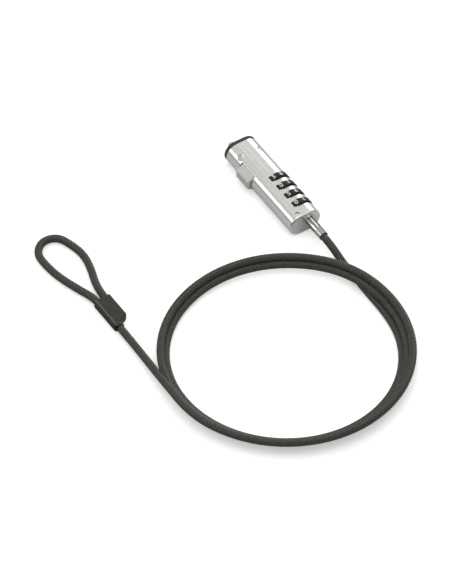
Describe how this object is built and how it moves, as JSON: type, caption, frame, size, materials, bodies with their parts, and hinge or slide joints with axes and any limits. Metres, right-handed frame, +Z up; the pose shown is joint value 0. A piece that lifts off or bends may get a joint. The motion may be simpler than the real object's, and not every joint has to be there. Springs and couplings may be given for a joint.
{
  "type": "laptop cable lock",
  "caption": "Combination cable lock for a laptop slot: stadium-section metal body with numbered dials, side button, turning T-bar and a coiled steel cable with a crimped loop.",
  "frame": {"origin": "on the housing's flat underside, at its mid-length", "axes": "+X from the cable end to the laptop end, +Y towards the button, +Z up"},
  "size_m": [0.2169, 0.1487, 0.0154],
  "materials": {
    "housing_metal": "satin silver zinc alloy",
    "button_metal": "satin, fine brushed",
    "core_metal": "plain cast zinc",
    "pin_steel": "satin",
    "bumper_rubber": "matt rubber",
    "steel": "machined",
    "spring_steel": "bright",
    "brass": "turned",
    "bush_metal": "bright nickel",
    "fitting_nickel": "bright nickel",
    "cable_jacket": "semi-gloss jacket over wire strand",
    "aluminium": "crimped",
    "sleeve_black": "moulded",
    "dial_black": "semi-gloss",
    "digit_white": "white filled numerals"
  },
  "bodies": {
    "root": {"housing": "housing_metal", "nose_block": "core_metal", "core_pin_left": "pin_steel", "core_pin_right": "pin_steel", "nose_gasket": "bumper_rubber", "guide_prongs": "steel", "rear_plate": "steel", "bulkhead": "steel", "dial_arbor": "steel", "spacer_tubes": "brass", "detent_spring": "spring_steel", "button_spring": "spring_steel", "swivel_bush": "bush_metal", "cable_coil": "cable_jacket", "cable_lead": "cable_jacket", "cable_tail": "cable_jacket", "cable_loop": "cable_jacket", "loop_ferrule": "aluminium", "ferrule_sleeve": "sleeve_black"},
    "dial_1": {"dial_1": "dial_black", "dial_hub_1": "brass"},
    "dial_2": {"dial_2": "dial_black", "dial_hub_2": "brass"},
    "dial_3": {"dial_3": "dial_black", "dial_hub_3": "brass"},
    "dial_4": {"dial_4": "dial_black", "dial_hub_4": "brass"},
    "button_slide": {"button": "button_metal", "fence_slide": "steel"},
    "tbar": {"tbar_spindle": "steel"},
    "reset": {"reset_screw": "steel"},
    "swivel": {"swivel_ferrule": "fitting_nickel", "swivel_clip": "spring_steel"}
  },
  "joints": [
    {"name": "dial_1_turn", "type": "hinge", "parent": "root", "child": "dial_1", "pos_m": [-0.0228, -0.0025, 0.0078], "axis": [1, 0, 0], "continuous": true},
    {"name": "dial_2_turn", "type": "hinge", "parent": "root", "child": "dial_2", "pos_m": [-0.0152, -0.0025, 0.0078], "axis": [1, 0, 0], "continuous": true},
    {"name": "dial_3_turn", "type": "hinge", "parent": "root", "child": "dial_3", "pos_m": [-0.0076, -0.0025, 0.0078], "axis": [1, 0, 0], "continuous": true},
    {"name": "dial_4_turn", "type": "hinge", "parent": "root", "child": "dial_4", "pos_m": [0, -0.0025, 0.0078], "axis": [1, 0, 0], "continuous": true},
    {"name": "button_press", "type": "slide", "parent": "root", "child": "button_slide", "axis": [0, -1, 0], "range_m": [0, 0.0016], "stiffness_N_per_m": 600, "springref_m": -0.002, "deforming": ["button_spring"]},
    {"name": "tbar_turn", "type": "hinge", "parent": "root", "child": "tbar", "pos_m": [0.0203, 0.0036, 0.007], "axis": [1, 0, 0], "range_deg": [-1, 91]},
    {"name": "cable_swivel", "type": "hinge", "parent": "root", "child": "swivel", "pos_m": [-0.0325, -0.0025, 0.0078], "axis": [1, 0, 0], "continuous": true},
    {"name": "reset_turn", "type": "hinge", "parent": "root", "child": "reset", "pos_m": [0.0135, 0, 0], "axis": [0, 0, 1], "range_deg": [0, 90]}
  ],
  "couplings": [
    {"joint": "tbar_turn", "follows": "button_press", "rad_per_m": 981.75}
  ]
}
